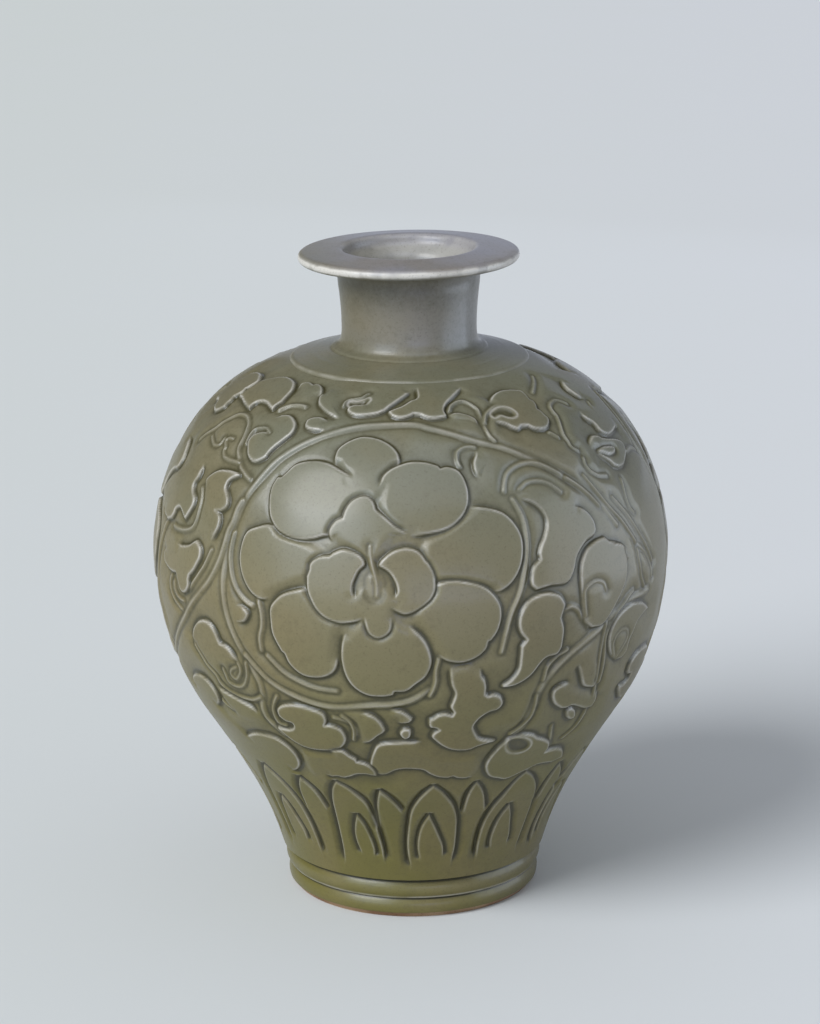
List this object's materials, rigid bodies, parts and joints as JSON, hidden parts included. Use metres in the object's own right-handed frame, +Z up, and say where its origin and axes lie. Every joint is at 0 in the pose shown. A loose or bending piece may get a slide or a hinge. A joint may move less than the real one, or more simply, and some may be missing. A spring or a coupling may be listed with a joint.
{
  "type": "celadon vase",
  "caption": "Stoneware vase with a wide shoulder, short neck, disc lip and banded foot, under a carved flower scroll and a glossy olive glaze.",
  "frame": {"origin": "middle of the foot ring's standing face", "axes": "+Z up along the axis of turning, from the foot to the mouth; -Y towards the viewer"},
  "size_m": [0.1588, 0.1588, 0.202],
  "materials": {
    "clay_body": "unglazed stoneware, fired brown, matt",
    "celadon_glaze": "glossy olive green glaze, darker where it pools in the carving, paler on the edges"
  },
  "bodies": {
    "root": {"foot_ring": "clay_body", "lower_body": "clay_body", "upper_body": "clay_body", "neck": "clay_body", "mouth_rim": "clay_body", "outer_glaze": "celadon_glaze", "inner_glaze": "celadon_glaze", "base_glaze": "celadon_glaze"}
  },
  "joints": []
}
